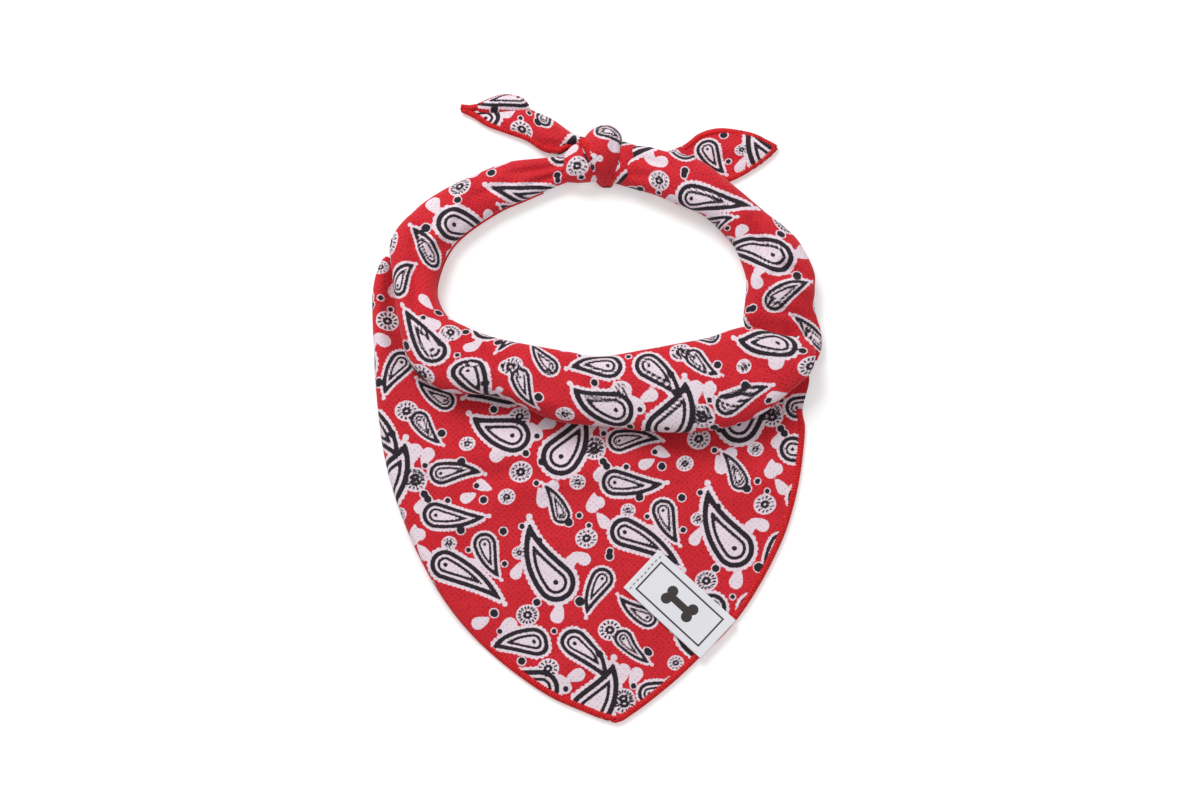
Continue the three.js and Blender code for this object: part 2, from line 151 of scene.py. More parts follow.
KNOT_ROWS = [
    (5.8, 89.0, 2.6, 89.0, 2, 1.5),
    (6.6, 89.6, 1.2, 89.6, 5, 0),
    (8, 92.4, -1.8, 92.4, 11, 0),
    (8.8, 95.8, -4.2, 95.8, 14.5, 0),
    (9.6, 99.6, -5.8, 99.6, 16, 0),
    (9.9, 103.8, -6.2, 103.8, 16, 0),
    (10.4, 108, -5, 108, 14.5, 0),
    (9.2, 111.4, -2.6, 111.4, 11, 0),
    (6.8, 114.2, 1, 114.2, 6, 0),
    (5, 114.9, 2.6, 114.9, 2, 1.5),
]
KNOT_LEFT_ROWS = [
    (-13.2, 91.6, -13.4, 101.4, 8, 0),
    (-11.8, 90.6, -12.4, 102.8, 9.6, 0),
    (-8, 90, -9.5, 105.5, 11.5, 0),
    (-3, 90.2, -6, 106.5, 12, 0),
    (1, 91, 0, 105, 10, 0),
]
KNOT_RIGHT_ROWS = [
    (4, 91, 5, 106, 9, 0),
    (8, 89.6, 10, 107, 11, 0),
    (11, 89.2, 13.4, 106.6, 10.8, 0),
    (14, 88.4, 16.6, 105.6, 9.4, 0),
]

TAIL_COLUMNS = ("upper_x", "upper_y", "lower_x", "lower_y", "lift")
LEFT_TAIL_ROWS = [
    (-4, 110, -5, 104, 7),
    (-9.4, 111.8, -11, 105, 5.5),
    (-17.4, 117.6, -15.4, 103, 5),
    (-23, 120.4, -22, 104.4, 4.4),
    (-28.4, 122.4, -28.8, 108.8, 3),
    (-35, 122.6, -38.4, 112.4, 2),
    (-42.5, 122.4, -45, 115, 1),
    (-49, 122.6, -50.2, 118.4, 0.4),
    (-55.6, 124, -55.4, 121, 0),
]
LEFT_FLAP_ROWS = [
    (-27.6, 124.2, -27.4, 122.0, 0.4),
    (-31.0, 127.4, -31, 121.4, 1.6),
    (-37.6, 128.6, -37, 120.6, 2.2),
    (-43, 127.2, -43, 120.4, 1.8),
    (-48.6, 124.6, -48.4, 121, 0.8),
]
RIGHT_TAIL_ROWS = [
    (25, 103.2, 28.6, 96, 0.5),
    (35, 106.8, 37, 92.5, 0.3),
    (41.8, 112, 44.6, 90, 0.3),
    (49.4, 114.2, 52.4, 91, 0.6),
    (57.4, 113.6, 59, 93.8, 1.6),
    (64.2, 112, 65.4, 97.8, 1.4),
    (69.8, 109.3, 70.4, 101.6, 0.8),
    (73.8, 107, 73.9, 105.4, 0.2),
]

# Creases, as lines seen from above: where each runs, its width and its height,
# which is negative for a trough.
BIB_CREASES = [
    # x0, y0, x1, y1, width, height
    (-66, -20, -14, -23, 9, 2.4),
    (-38, -38, 20, -23, 6, 2.0),
    (62, -22, 70, -40, 6, 2.0),
    (-66, -54, -40, -45, 6, 1.4),
    (46, -33, 57, -48, 5, 1.2),
    (-50, -30, -16, -31, 3.5, -0.9),
    (66, -14, 62, -34, 3, -0.8),
    (-78, -2, -70, -24, 3, -0.7),
    (-28, -62, -8, -56, 6, 0.7),
    (0, -100, -22, -112, 6, 0.8),
    (-56, -70, -40, -84, 5, 0.7),
]
LOOP_CREASES = [
    (-72.6, 70, -73.4, 57, 2.2, -1.6),
    (-73.4, 57, -72.4, 44, 2.4, -1.8),
    (-72.4, 44, -72.6, 33, 2.4, -1.2),
    (-73, 58, -62, 68, 2.6, 1.3),
    (-62, 68, -54, 83, 2.4, 1.1),
    (-64, 58, -57, 68, 2.0, -0.9),
    (-12, 97, -36, 93, 1.6, -1.3),
    (-12, 94, -30, 87.5, 1.5, -1.2),
    (-30, 91, -50, 83, 2.2, -0.8),
    (-52, 24, -40, 12, 2.4, -1.1),
    (-38, 20, -34, 10, 2.0, -1.0),
    (-20, 16, -2, 2, 3.0, -0.8),
    (-46, 2, -16, -4, 3.0, 0.9),
    (26, 17, 46, 12, 3.0, -0.8),
    (56, 20, 70, 4, 3.0, -0.8),
    (72, 22, 80, 14, 2.0, -0.9),
]
RIGHT_CREASES = [
    (62, 72, 68, 58, 2.2, -1.8),
    (58, 78, 62, 68, 2.4, 0.8),
    (72, 55, 84, 49, 2.2, -2.0),
    (62, 46, 76, 58, 2.6, 1.0),
    (74, 46, 87, 43, 2.4, 1.1),
    (66, 38, 82, 33, 2.2, -1.0),
    (76, 30, 79, 22, 1.6, -1.6),
    (14, 100, 30, 95, 1.8, -1.0),
    (14, 92, 28, 90, 1.6, -0.9),
    (44, 90, 56, 78, 2.2, -0.8),
    (84.5, 33, 84.4, 16, 1.6, -1.4),
]
KNOT_CREASES = [
    (-4, 110, 3, 92, 1.5, -0.7),
    (8, 110, 6, 94, 1.6, -0.7),
]
TAIL_CREASES = [
    (-12, 109, -30, 117, 2.0, -1.0),
    (-12, 106, -24, 107, 1.6, -0.8),
    (-30, 118, -46, 120, 1.6, -0.5),
    (40, 104, 62, 106, 3.0, 0.6),
    (46, 99, 60, 101, 2.4, -0.5),
]

LABEL = dict(x=32.8, y=-81.8, length=41.4, width=20.6, turn=-43.0, thickness=0.8)


# ------------------------------------------------------------------ tables to smooth curves

def columns_at(rows, names, places):
    """Every column of a table at places between its rows, on a smooth curve."""
    table = np.array(rows, float)
    places = np.clip(np.asarray(places, float), 0, len(table) - 1)
    start = np.minimum(places.astype(int), len(table) - 2)
    share = (places - start)[:, None]
    a, b, c, d = (table[np.clip(start + k, 0, len(table) - 1)] for k in (-1, 0, 1, 2))
    share2, share3 = share**2, share**3
    values = (
        (2 * share3 - 3 * share2 + 1) * b
        + (share3 - 2 * share2 + share) * (c - a) / 2
        + (3 * share2 - 2 * share3) * c
        + (share3 - share2) * (d - b) / 2
    )
    return dict(zip(names, values.T))


def even_places(rows, names, first, last, spacing):
    """Places along a table, evenly spaced along its outer edge."""
    fine = np.linspace(first, last, 1500)
    found = columns_at(rows, names, fine)
    keys = [n for n in names if n.endswith(("_x", "_y"))]
    edges = [np.stack([found[keys[i]], found[keys[i + 1]]], 1) for i in (0, 2)]
    run = np.maximum(*(np.linalg.norm(np.diff(e, axis=0), axis=1) for e in edges))
    length = np.concatenate([[0], np.cumsum(run)])
    count = max(int(length[-1] / spacing), 4)
    return np.interp(np.linspace(0, length[-1], count), length, fine)


def crease_height(creases, x, y):
    total = np.zeros_like(x)
    for x0, y0, x1, y1, width, height in creases:
        run = np.array([x1 - x0, y1 - y0])
        share = ((x - x0) * run[0] + (y - y0) * run[1]) / (run @ run)
        share = np.clip(share, 0, 1)
        away = np.hypot(x - x0 - share * run[0], y - y0 - share * run[1])
        taper = 0.45 + 0.55 * np.sin(np.pi * np.clip(share, 0.02, 0.98))
        total += height * taper * np.exp(-((away / width) ** 2))
    return total


def ripple(x, y, size, seed):
    """Small uneven waves, the same on every run."""
    wave = np.zeros_like(x)
    for k in range(5):
        turn = seed + 2.4 * k
        pitch = size * (1 + 0.37 * k)
        wave += np.sin((x * math.cos(turn) + y * math.sin(turn)) * 2 * math.pi / pitch + 1.7 * turn)
    return wave / 5


# ------------------------------------------------------------------ the print

def spine(length, radius, bend, count=22):
    """Circles down the middle of a paisley: centres and radii, from its head to its tail."""
    t = np.linspace(0, 1, count)
    x = length * t * (1 - 0.12 * t)
    y = bend * length * t**2.2
    r = radius * (1 - t) ** 0.85 * (1 + 0.45 * t * (1 - t)) + 0.12
    return np.stack([x, y], 1), r


def blob(px, py, centres, radii):
    d = np.full(px.shape, 1e3)
    for (cx, cy), r in zip(centres, radii):
        d = np.minimum(d, np.hypot(px - cx, py - cy) - r)
    return d


def paisley(px, py, length, radius, bend, line):
    centres, radii = spine(length, radius, bend)
    d = blob(px, py, centres, radii)
    run = np.gradient(centres, axis=0)
    run /= np.linalg.norm(run, axis=1)[:, None]
    side = np.stack([-run[:, 1], run[:, 0]], 1) * (radii + 0.35 * line)[:, None]
    rim = np.concatenate([centres + side, (centres - side)[::-1]])
    around = np.linspace(0, math.pi, 12)[1:-1]
    start = math.atan2(side[0][1], side[0][0])
    reach = radius + 0.35 * line
    cap = np.stack([np.cos(start + around), np.sin(start + around)], 1) * reach
    rim = np.concatenate([rim, cap[::-1]])
    gaps = np.concatenate([[0], np.cumsum(np.linalg.norm(np.diff(rim, axis=0), axis=1))])
    bumps = np.arange(0, gaps[-1], 1.25 * line)
    bx, by = np.interp(bumps, gaps, rim[:, 0]), np.interp(bumps, gaps, rim[:, 1])
    white = d - 0.55 * line
    for cx, cy in zip(bx, by):
        white = np.minimum(white, np.hypot(px - cx, py - cy) - 0.72 * line)
    ball = centres[-1] + run[-1] * 1.3 * line
    white = np.minimum(white, np.hypot(px - ball[0], py - ball[1]) - 0.75 * line)
    ring = np.maximum(d, -(d + 1.2 * line))
    inner = np.maximum(d + 1.85 * line, -(d + 2.6 * line))
    dot = np.hypot(px, py) - 0.6 * line
    ink = np.minimum(np.minimum(ring, inner), dot)
    return white, ink


def flower(px, py, size, petals):
    """A white round with dashes round its rim and a pierced middle."""
    r = np.hypot(px, py)
    step = 2 * math.pi / petals
    turn = (np.arctan2(py, px) + step / 2) % step - step / 2
    dx, dy = r * np.cos(turn), r * np.sin(turn)
    along = np.clip(dx, 0.62 * size, 0.80 * size)
    dash = np.hypot(dx - along, dy) - 0.085 * size
    lobes = 0.40 * size * (1 + 0.12 * np.cos(8 * np.arctan2(py, px)))
    middle = np.maximum(r - lobes, 0.13 * size - r)
    return r - size, np.minimum(dash, middle)


def drop(px, py, size):
    centres, radii = spine(2.6 * size, size, 0.12, 9)
    return blob(px, py, centres, radii), np.full(px.shape, 1e3)


def spot(px, py, size):
    r = np.hypot(px, py)
    return r - size - 0.42, r - size


# One repeat of the print: heads and tails of the paisleys, and the places and sizes of the
# rest, in millimetres on the flat cloth.
PAISLEYS = [
    # head x, head y, tail x, tail y, head radius, bend, line
    (-15, -73, -27.6, -48, 6.9, -0.30, 1.75),
    (-58.4, -66.5, -33.5, -81, 5.2, -0.16, 1.5),
    (-62.2, -46.6, -40.5, -47.6, 4.6, 0.14, 1.3),
    (-43, -57.8, -37.4, -72.6, 4.0, 0.18, 1.15),
    (3.4, -71.6, -4.4, -87, 3.9, 0.16, 1.15),
    (-60.4, -29.6, -42.6, -28.2, 3.9, -0.22, 1.15),
    (-8.4, -97.3, 4.8, -112.6, 5.0, -0.20, 1.4),
    (-24.4, -96.6, -43.4, -98.4, 4.9, 0.18, 1.4),
    (-12.6, -22.6, -1.6, -3, 7.0, 0.26, 1.75),
    (-32, -14, -50, -6.5, 6.4, -0.24, 1.65),
    (-12.5, -46, -19.5, -32.5, 3.1, 0.2, 1.0),
    (-50.2, -100.6, -62.5, -92, 3.4, -0.2, 1.05),
    (-69, -8, -60, -19, 3.2, 0.2, 1.0),
]
FLOWERS = [
    # x, y, size, petals
    (-70.2, -33.5, 4.1, 12),
    (-28.6, -28.8, 4.3, 13),
    (-34.2, -38.8, 3.2, 11),
    (-26.4, -86.0, 4.2, 16),
    (-20.2, -107.2, 4.0, 12),
    (5.8, -92, 4.3, 13),
    (9.4, -119, 4.1, 18),
    (-2.6, -55.4, 4.1, 12),
    (-57, -57.7, 2.8, 11),
    (-29.2, -61.2, 2.8, 11),
    (-50, -17.5, 3.0, 11),
    (-6, -33, 3.0, 11),
]
DROPS = [
    # x, y, size, turn in degrees
    (-66.4, -62.8, 1.7, 120),
    (-24.2, -70.4, 1.6, 285),
    (-8.6, -64.2, 1.6, 250),
    (-44.6, -33.8, 1.7, 330),
    (2.6, -30.4, 1.8, 60),
    (-15.6, -34.6, 1.7, 200),
    (-46.2, -89.6, 1.8, 20),
    (-19.8, -40.6, 1.9, 100),
    (-0.2, -42.6, 1.9, 75),
    (-68.6, -54.6, 1.8, 200),
    (-47.4, -66.2, 1.9, 160),
    (-30.8, -69.6, 1.7, 60),
    (-3.6, -63.8, 1.9, 150),
    (-14.8, -86.6, 2.0, 70),
    (-33.4, -89.8, 2.1, 215),
    (-8.2, -109.6, 1.9, 200),
    (14.6, -109.2, 1.9, 240),
    (-38.4, -22.4, 2.0, 30),
    (-70.6, -20.6, 2.1, 250),
    (-50.6, -39.4, 1.6, 20),
    (-22.4, -13.6, 1.9, 110),
]
SPOTS = [
    # x, y, size
    (-1.6, -50.2, 0.8),
    (-21.2, -56.2, 0.9),
    (-57.6, -40.4, 0.9),
    (-66.6, -26.6, 0.9),
    (4.2, -24.6, 1.2),
    (-13.2, -115.2, 0.9),
    (-37.6, -92.6, 0.8),
    (6.6, -60.6, 1.0),
    (-28.2, -50.6, 0.9),
    (-43.4, -40.0, 1.2),
    (-52.4, -52.4, 1.3),
    (-49.4, -60.2, 0.8),
    (-35.6, -52.6, 1.2),
    (-35.2, -65.6, 0.9),
    (-9.6, -49, 1.3),
    (-5.4, -46.2, 0.9),
    (-22.6, -81, 1.2),
    (-5.6, -80.6, 1.5),
    (-39.6, -85.4, 1.3),
    (-16.2, -92.4, 0.8),
    (0.2, -101.4, 1.2),
    (-30.6, -104.2, 1.2),
    (-65.4, -40.2, 1.2),
    (-52.2, -24.8, 1.3),
    (-46.2, -34.2, 0.9),
    (-22.4, -33.4, 0.9),
    (-20.2, -24.8, 1.2),
    (-60.2, -13.2, 1.3),
    (-26.6, -21.4, 1.1),
    (-64.6, -76.2, 1.2),
]
REPEATS = ((71.0, 13.6), (-9.0, 101.0))  # from one repeat to the next, across and up


def motifs():
    """Each motif's place, turn and reach, and the function that draws it round its own middle."""
    for hx, hy, tx, ty, radius, bend, line in PAISLEYS:
        length = math.hypot(tx - hx, ty - hy)
        turn = math.atan2(ty - hy, tx - hx) - math.atan(bend * 0.9)
        shape = (length, PAISLEY_GROWTH * radius, bend, line)
        yield hx, hy, turn, length + 9, lambda x, y, a=shape: paisley(x, y, *a)
    for x0, y0, size, petals in FLOWERS:
        shape = (FLOWER_GROWTH * size, petals)
        yield x0, y0, 0.3, size + 2, lambda x, y, a=shape: flower(x, y * 1.12, *a)
    for x0, y0, size, turn in DROPS:
        shape = DROP_GROWTH * size
        yield x0, y0, math.radians(turn), 4.6 * size + 1, lambda x, y, s=shape: drop(x, y, s)
    for x0, y0, size in SPOTS:
        shape = SPOT_GROWTH * size
        yield x0, y0, 0.0, size + 2, lambda x, y, s=shape: spot(x, y, s)


def paint(u, v):
    """How far each point of the flat cloth is from the white and from the ink."""
    white = np.full(u.shape, 3.0)
    ink = np.full(u.shape, 3.0)
    (ax, ay), (bx, by) = REPEATS
    for hx, hy, turn, reach, draw in motifs():
        for i in range(-5, 6):
            for j in range(-3, 4):
                cx, cy = hx + i * ax + j * bx, hy + i * ay + j * by
                if cx < u.min() - reach or cx > u.max() + reach:
                    continue
                if cy < v.min() - reach or cy > v.max() + reach:
                    continue
                near = (np.abs(u - cx) < reach) & (np.abs(v - cy) < reach)
                if not near.any():
                    continue
                du, dv = u[near] - cx, v[near] - cy
                x = du * math.cos(turn) + dv * math.sin(turn)
                y = dv * math.cos(turn) - du * math.sin(turn)
                w, k = draw(x, y)
                white[near] = np.minimum(white[near], w)
                ink[near] = np.minimum(ink[near], k)
    return white, np.maximum(ink, white - 0.2)


# ------------------------------------------------------------------ meshes

def mesh_object(name, points, faces, material):
    mesh = bpy.data.meshes.new(name)
    faces = np.asarray(faces)
    size = faces.shape[1]
    mesh.vertices.add(len(points))
    mesh.vertices.foreach_set("co", (np.asarray(points, float) * MM).ravel())
    mesh.loops.add(faces.size)
    mesh.loops.foreach_set("vertex_index", faces.ravel().astype(np.int32))
    mesh.polygons.add(len(faces))
    mesh.polygons.foreach_set("loop_start", np.arange(0, faces.size, size, dtype=np.int32))
    mesh.update(calc_edges=True)
    mesh.validate()
    mesh.polygons.foreach_set("use_smooth", np.ones(len(mesh.polygons), bool))
    mesh.materials.append(material)
    obj = bpy.data.objects.new(name, mesh)
    bpy.context.scene.collection.objects.link(obj)
    return obj


def attribute(obj, name, values):
    layer = obj.data.attributes.new(name, "FLOAT", "POINT")
    layer.data.foreach_set("value", np.asarray(values, np.float32).ravel())


def grid_faces(rows, columns):
    index = np.arange(rows * columns).reshape(rows, columns)
    a, b = index[:-1, :-1], index[:-1, 1:]
    c, d = index[1:, 1:], index[1:, :-1]
    return np.stack([a, b, c, d], -1).reshape(-1, 4)


def printed(name, points, u, v, material):
    """A sheet through a grid of points, with the print at its flat places u and v."""
    rows, columns = u.shape
    faces = grid_faces(rows, columns)
    if not face_up(points):
        faces = faces[:, ::-1]
    obj = mesh_object(name, points.reshape(-1, 3), faces, material)
    white, ink = paint(u.ravel(), v.ravel())
    attribute(obj, "white", white)
    attribute(obj, "ink", ink)
    attribute(obj, "cloth_u", u.ravel())
    attribute(obj, "cloth_v", v.ravel())
    return obj


def face_up(points):
    """Whether the grid's faces look towards +Z where the cloth shows."""
    columns = points.shape[1]
    seen = slice(columns // 3, columns - columns // 3)
    across = (points[:, 1:] - points[:, :-1])[:-1, seen]
    along = (points[1:] - points[:-1])[:, seen]
    return np.cross(across, along)[..., 2].sum() >= 0


# ------------------------------------------------------------------ materials

def new_material(name):
    material = bpy.data.materials.new(name)
    material.use_nodes = True
    tree = material.node_tree
    return material, tree, tree.nodes["Principled BSDF"]


def node(tree, kind, **settings):
    made = tree.nodes.new(kind)
    for key, value in settings.items():
        setattr(made, key, value)
    return made


def read_attribute(tree, name):
    return node(tree, "ShaderNodeAttribute", attribute_name=name).outputs["Fac"]


def map_range(tree, value, low, high, to_low=0.0, to_high=1.0):
    ranged = node(tree, "ShaderNodeMapRange", interpolation_type="SMOOTHSTEP")
    tree.links.new(value, ranged.inputs["Value"])
    for key, number in zip(("From Min", "From Max", "To Min", "To Max"), (low, high, to_low, to_high)):
        ranged.inputs[key].default_value = number
    return ranged.outputs["Result"]


def mix_color(tree, factor, a, b, kind="MIX"):
    mixed = node(tree, "ShaderNodeMix", data_type="RGBA", blend_type=kind)
    for key, value in ((0, factor), (6, a), (7, b)):
        if isinstance(value, bpy.types.NodeSocket):
            tree.links.new(value, mixed.inputs[key])
        else:
            mixed.inputs[key].default_value = value
    return mixed.outputs[2]


def cloth_place(tree, turn=0.0, scale=1.0):
    place = node(tree, "ShaderNodeCombineXYZ")
    tree.links.new(read_attribute(tree, "cloth_u"), place.inputs[0])
    tree.links.new(read_attribute(tree, "cloth_v"), place.inputs[1])
    mapping = node(tree, "ShaderNodeMapping")
    mapping.inputs["Rotation"].default_value = (0, 0, turn)
    mapping.inputs["Scale"].default_value = (scale, scale, scale)
    tree.links.new(place.outputs[0], mapping.inputs["Vector"])
    return mapping.outputs[0]


def knit_material():
    material, tree, shader = new_material("printed_knit")
    # The mesh of the knit: a lattice of small holes, and a fine grain between them.
    holes = node(tree, "ShaderNodeTexVoronoi", feature="F1")
    holes.inputs["Scale"].default_value = 1.0
    holes.inputs["Randomness"].default_value = 0.28
    tree.links.new(cloth_place(tree, math.radians(45), 0.62), holes.inputs["Vector"])
    grain = node(tree, "ShaderNodeTexNoise")
    grain.inputs["Scale"].default_value = 1.5
    grain.inputs["Detail"].default_value = 3.0
    tree.links.new(cloth_place(tree), grain.inputs["Vector"])
    broad = node(tree, "ShaderNodeTexNoise")
    broad.inputs["Scale"].default_value = 0.045
    tree.links.new(cloth_place(tree), broad.inputs["Vector"])

    hole = map_range(tree, holes.outputs["Distance"], 0.12, 0.34, 1.0, 0.0)
    speckle = map_range(tree, grain.outputs["Fac"], 0.36, 0.66)
    red = mix_color(tree, speckle, linear(RED), linear((0.86, 0.17, 0.215)))
    tone = map_range(tree, broad.outputs["Fac"], 0.35, 0.7, 0.0, 0.35)
    red = mix_color(tree, tone, red, linear((0.77, 0.09, 0.145)))
    weaker = node(tree, "ShaderNodeMath", operation="MULTIPLY")
    tree.links.new(hole, weaker.inputs[0])
    weaker.inputs[1].default_value = 0.62
    red = mix_color(tree, weaker.outputs[0], red, linear(DEEP_RED))
    faint = node(tree, "ShaderNodeMath", operation="MULTIPLY")
    tree.links.new(hole, faint.inputs[0])
    faint.inputs[1].default_value = 0.20
    white = mix_color(tree, faint.outputs[0], linear(PRINT_WHITE), linear((0.62, 0.55, 0.62)))
    ink = mix_color(tree, speckle, linear(INK), linear((0.18, 0.15, 0.19)))

    # The dye bleeds a little, so its edges follow the grain.
    bleed = map_range(tree, grain.outputs["Fac"], 0.2, 0.8, -0.16, 0.16)
    edges = {}
    for name in ("white", "ink"):
        moved = node(tree, "ShaderNodeMath", operation="ADD")
        tree.links.new(read_attribute(tree, name), moved.inputs[0])
        tree.links.new(bleed, moved.inputs[1])
        edges[name] = map_range(tree, moved.outputs[0], -0.16, 0.16, 1.0, 0.0)
    color = mix_color(tree, edges["white"], red, white)
    color = mix_color(tree, edges["ink"], color, ink)

    # The print only shows through faintly on the wrong side.
    side = node(tree, "ShaderNodeNewGeometry").outputs["Backfacing"]
    behind = mix_color(tree, 0.72, color, linear(REVERSE))
    color = mix_color(tree, side, color, behind)
    tree.links.new(color, shader.inputs["Base Color"])

    relief = node(tree, "ShaderNodeMath", operation="SUBTRACT")
    tree.links.new(grain.outputs["Fac"], relief.inputs[0])
    tree.links.new(hole, relief.inputs[1])
    bump = node(tree, "ShaderNodeBump")
    bump.inputs["Strength"].default_value = 0.55
    bump.inputs["Distance"].default_value = 0.0003
    tree.links.new(relief.outputs[0], bump.inputs["Height"])
    tree.links.new(bump.outputs[0], shader.inputs["Normal"])
    shader.inputs["Roughness"].default_value = 0.82
    shader.inputs["Specular IOR Level"].default_value = 0.22
    shader.inputs["Sheen Weight"].default_value = 0.12
    shader.inputs["Sheen Roughness"].default_value = 0.5
    return material


def thread_material(name, color, dark):
    material, tree, shader = new_material(name)
    place = node(tree, "ShaderNodeTexCoord").outputs["Object"]
    noise = node(tree, "ShaderNodeTexNoise")
    noise.inputs["Scale"].default_value = 900.0
    noise.inputs["Detail"].default_value = 2.0
    tree.links.new(place, noise.inputs["Vector"])
    shade = map_range(tree, noise.outputs["Fac"], 0.35, 0.7)
    tree.links.new(mix_color(tree, shade, linear(dark), linear(color)), shader.inputs["Base Color"])
    bump = node(tree, "ShaderNodeBump")
    bump.inputs["Strength"].default_value = 0.5
    bump.inputs["Distance"].default_value = 0.0002
    tree.links.new(noise.outputs["Fac"], bump.inputs["Height"])
    tree.links.new(bump.outputs[0], shader.inputs["Normal"])
    shader.inputs["Roughness"].default_value = 0.6
    shader.inputs["Specular IOR Level"].default_value = 0.3
    return material


def label_material():
    material, tree, shader = new_material("woven_label")
    place = node(tree, "ShaderNodeCombineXYZ")
    tree.links.new(read_attribute(tree, "cloth_u"), place.inputs[0])
    tree.links.new(read_attribute(tree, "cloth_v"), place.inputs[1])
    weave = node(tree, "ShaderNodeTexWave", wave_type="BANDS", bands_direction="DIAGONAL")
    weave.inputs["Scale"].default_value = 1.3
    weave.inputs["Distortion"].default_value = 0.6
    tree.links.new(place.outputs[0], weave.inputs["Vector"])
    white = mix_color(tree, weave.outputs["Fac"], linear((0.90, 0.90, 0.925)), linear(LABEL_WHITE))
    edge = map_range(tree, read_attribute(tree, "ink"), -0.10, 0.10, 1.0, 0.0)
    tree.links.new(mix_color(tree, edge, white, linear(LABEL_INK)), shader.inputs["Base Color"])
    bump = node(tree, "ShaderNodeBump")
    bump.inputs["Strength"].default_value = 0.3
    bump.inputs["Distance"].default_value = 0.0001
    tree.links.new(weave.outputs["Fac"], bump.inputs["Height"])
    tree.links.new(bump.outputs[0], shader.inputs["Normal"])
    shader.inputs["Roughness"].default_value = 0.42
    shader.inputs["Sheen Weight"].default_value = 0.1
    return material


# ------------------------------------------------------------------ printed pieces

def crease_lines(x, y, creases, seed):
    return crease_height(creases, x, y) + 0.22 * ripple(x, y, 11.0, seed) + 0.12 * ripple(x, y, 5.0, seed + 1)


def bib_shell(material):
    """The bib's single layer, from what is turned under at its left to its right edge."""
    places = even_places(BIB_ROWS, BIB_COLUMNS, 0, len(BIB_ROWS) - 1, GRID)
    row = columns_at(BIB_ROWS, BIB_COLUMNS, places)
    across = np.stack([row["right_x"] - row["left_x"], row["right_y"] - row["left_y"]], 1)
    length = np.linalg.norm(across, axis=1)
    across /= length[:, None]
    radius = np.maximum((row["crown"] - CLOTH) / 2, 0.05)
    inset = np.clip((places - HEM_LEFT_ROW) / 0.5, 0, 1) * 1.2
    right_inset = np.clip((places - HEM_TOP_ROW) / 0.5, 0, 1) * 1.6
    below = np.maximum(row["under"] - radius, 0)
    turn = math.pi * radius
    total = below + turn + length - radius - inset - right_inset
    count = int(175 / GRID)
    share = np.linspace(0, 1, count)
    walk = total[:, None] * share
    flat = walk < below[:, None]
    bending = ~flat & (walk < (below + turn)[:, None])
    angle = (walk - below[:, None]) / radius[:, None]
    top = radius[:, None] + walk - (below + turn)[:, None]
    side = np.where(flat, (radius + below)[:, None] - walk, top)
    side = np.where(bending, radius[:, None] * (1 - np.sin(angle)), side)
    side = side + inset[:, None]
    x = row["left_x"][:, None] + across[:, :1] * side
    y = row["left_y"][:, None] + across[:, 1:] * side
    fold = np.exp(-(((side - inset[:, None] - radius[:, None]) / row["spread"][:, None]) ** 2))
    shape = crease_lines(x, y, BIB_CREASES, 0.4)
    edge = np.clip((length[:, None] - side) / 14, 0, 1)
    z_top = CLOTH + (row["crown"][:, None] - CLOTH) * fold
    z_top = z_top + shape * (1 - fold) * (0.25 + 0.75 * edge)
    z = np.where(flat, 0.15, np.maximum(z_top, 0.9))
    curl = 0.15 + (row["crown"][:, None] - 0.15) * (1 - np.cos(angle)) / 2
    z = np.where(bending, curl, z)
    shift = walk - (below + turn / 2)[:, None]  # along the cloth from the fold's outermost line
    u = row["left_x"][:, None] + across[:, :1] * shift
    v = row["left_y"][:, None] + across[:, 1:] * shift
    points = np.stack([x, y, z], -1)
    return printed("bib", points, u, v, material)


def band_shell(name, rows, material, creases, seed, first, last, shift=(0.0, 0.0), lean=0.0):
    """A rolled stretch of cloth, with its seam of the grid underneath."""
    places = even_places(rows, BAND_COLUMNS, first, last, GRID)
    row = columns_at(rows, BAND_COLUMNS, places)
    inner = np.stack([row["inner_x"], row["inner_y"]], 1)
    outer = np.stack([row["outer_x"], row["outer_y"]], 1)
    middle = (inner + outer) / 2
    across = outer - inner
    half = np.linalg.norm(across, axis=1) / 2
    across /= 2 * half[:, None]
    count = int(np.percentile(2.6 * (half + row["height"] / 2), 80) / GRID)
    angle = np.linspace(1.5 * math.pi, -0.5 * math.pi, count)
    sine, cosine = np.sin(angle), np.cos(angle)
    side = half[:, None] * np.sign(cosine) * np.abs(cosine) ** 0.9
    rise = np.where(sine < 0, np.maximum(-1, 1.25 * sine), np.abs(sine) ** 0.92)
    z = row["base"][:, None] + 0.1 + row["height"][:, None] * (1 + rise) / 2
    side = side + lean * row["height"][:, None] * np.maximum(sine, 0) ** 2 * -0.12
    x = middle[:, :1] + across[:, :1] * side
    y = middle[:, 1:] + across[:, 1:] * side
    shape = ROLL_CREASES * crease_lines(x, y, creases, seed) * np.clip(sine + 0.15, 0, 1)
    z = z + shape * sine.clip(0, 1) ** 0.5
    spread = shape * 0.35 * cosine
    x, y = x + across[:, :1] * spread, y + across[:, 1:] * spread
    points = np.stack([x, y, z], -1)
    centre_run = np.linalg.norm(np.diff(middle, axis=0), axis=1)
    along = np.concatenate([[0], np.cumsum(centre_run)])
    steps = np.linalg.norm(np.diff(points, axis=1), axis=2)
    round_it = np.concatenate([np.zeros((len(points), 1)), np.cumsum(steps, axis=1)], axis=1)
    round_it = round_it - round_it.mean(axis=1)[:, None]
    u = along[:, None] + shift[0] + 0 * round_it
    v = -round_it + shift[1]
    return printed(name, points, u, v, material)


